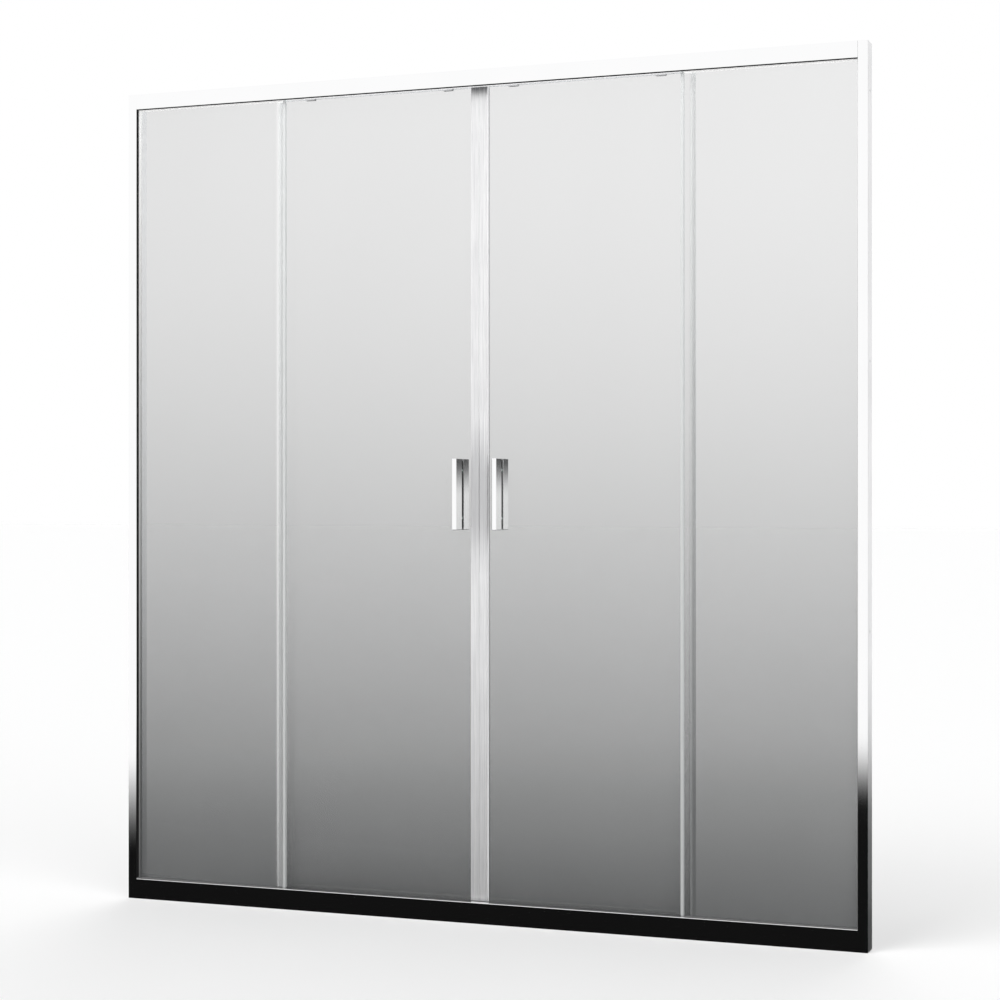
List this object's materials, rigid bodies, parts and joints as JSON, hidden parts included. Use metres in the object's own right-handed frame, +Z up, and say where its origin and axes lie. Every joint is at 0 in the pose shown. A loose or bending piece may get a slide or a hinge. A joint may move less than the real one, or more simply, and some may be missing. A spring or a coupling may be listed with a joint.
{
  "type": "sliding shower door",
  "caption": "Framed niche shower door: fixed glass panes at both sides and sliding glass doors behind them that part from the middle.",
  "frame": {"origin": "centre of the sill rail's flat underside, midway between the two wall faces and midway between the frame's front and rear faces", "axes": "+X to the right seen from the room, +Y from the room into the shower, +Z up"},
  "size_m": [1.8, 0.081, 1.95],
  "materials": {
    "bright_chrome": "bright polished, mirror-like",
    "bright_chrome_cap": "bright plated plastic cap",
    "handle_chrome": "bright polished",
    "satin_aluminium": "satin, fine upright draw lines",
    "clear_glass": "clear toughened safety glass",
    "translucent_strip": "translucent, milky",
    "white_gasket": "pale soft gasket",
    "dark_gasket": "dark soft gasket",
    "white_nylon": "moulded nylon",
    "grey_nylon": "moulded nylon",
    "magnet_strip": "plastic-bound magnet",
    "stainless_steel": "plain turned",
    "hanger_steel": "dull zinc-plated casting",
    "bearing_steel": "ground"
  },
  "bodies": {
    "frame": {"head_rail": "bright_chrome", "sill_rail": "bright_chrome", "head_filler": "bright_chrome", "sill_filler": "bright_chrome", "wall_profile_left": "bright_chrome", "wall_profile_right": "bright_chrome", "jamb_left": "bright_chrome", "jamb_right": "bright_chrome", "fixed_glass_left": "clear_glass", "fixed_glass_right": "clear_glass", "glazing_gasket_left": "white_gasket", "glazing_gasket_right": "white_gasket", "edge_strip_left": "translucent_strip", "edge_strip_right": "translucent_strip", "edge_strip_caps": "white_nylon", "frame_screws": "stainless_steel", "jamb_screws": "stainless_steel", "jamb_screw_caps": "bright_chrome_cap", "travel_stops": "grey_nylon", "bottom_guides": "grey_nylon"},
    "left_door": {"door_glass_left": "clear_glass", "closing_stile_left": "satin_aluminium", "magnet_strip_left": "magnet_strip", "stile_foot_left": "grey_nylon", "trailing_seal_left": "translucent_strip", "handle_outer_left": "handle_chrome", "handle_inner_left": "handle_chrome", "handle_gaskets_left": "dark_gasket", "handle_bolts_left": "stainless_steel", "handle_bushes_left": "white_nylon", "hanger_axles_left": "stainless_steel", "hanger_screws_left": "stainless_steel", "hanger_outer_left": "hanger_steel", "hanger_inner_left": "hanger_steel"},
    "right_door": {"door_glass_right": "clear_glass", "closing_stile_right": "satin_aluminium", "magnet_strip_right": "magnet_strip", "stile_foot_right": "grey_nylon", "trailing_seal_right": "translucent_strip", "handle_outer_right": "handle_chrome", "handle_inner_right": "handle_chrome", "handle_gaskets_right": "dark_gasket", "handle_bolts_right": "stainless_steel", "handle_bushes_right": "white_nylon", "hanger_axles_right": "stainless_steel", "hanger_screws_right": "stainless_steel", "hanger_outer_right": "hanger_steel", "hanger_inner_right": "hanger_steel"},
    "left_outer_wheel": {"wheel_tyre_outer_left": "white_nylon", "wheel_bearing_outer_left": "bearing_steel"},
    "left_inner_wheel": {"wheel_tyre_inner_left": "white_nylon", "wheel_bearing_inner_left": "bearing_steel"},
    "right_outer_wheel": {"wheel_tyre_outer_right": "white_nylon", "wheel_bearing_outer_right": "bearing_steel"},
    "right_inner_wheel": {"wheel_tyre_inner_right": "white_nylon", "wheel_bearing_inner_right": "bearing_steel"}
  },
  "joints": [
    {"name": "left_door_slide", "type": "slide", "parent": "frame", "child": "left_door", "axis": [-1, 0, 0], "range_m": [0, 0.35]},
    {"name": "right_door_slide", "type": "slide", "parent": "frame", "child": "right_door", "axis": [1, 0, 0], "range_m": [0, 0.35]},
    {"name": "left_outer_wheel_turn", "type": "hinge", "parent": "left_door", "child": "left_outer_wheel", "pos_m": [-0.4304, 0.0045, 1.93565], "axis": [0, 1, 0], "continuous": true},
    {"name": "left_inner_wheel_turn", "type": "hinge", "parent": "left_door", "child": "left_inner_wheel", "pos_m": [-0.0802, 0.0045, 1.93565], "axis": [0, 1, 0], "continuous": true},
    {"name": "right_outer_wheel_turn", "type": "hinge", "parent": "right_door", "child": "right_outer_wheel", "pos_m": [0.4304, 0.0045, 1.93565], "axis": [0, 1, 0], "continuous": true},
    {"name": "right_inner_wheel_turn", "type": "hinge", "parent": "right_door", "child": "right_inner_wheel", "pos_m": [0.0802, 0.0045, 1.93565], "axis": [0, 1, 0], "continuous": true}
  ],
  "couplings": [
    {"joint": "left_outer_wheel_turn", "follows": "left_door_slide", "rad_per_m": -133.33},
    {"joint": "left_inner_wheel_turn", "follows": "left_door_slide", "rad_per_m": -133.33},
    {"joint": "right_outer_wheel_turn", "follows": "right_door_slide", "rad_per_m": 133.33},
    {"joint": "right_inner_wheel_turn", "follows": "right_door_slide", "rad_per_m": 133.33}
  ]
}
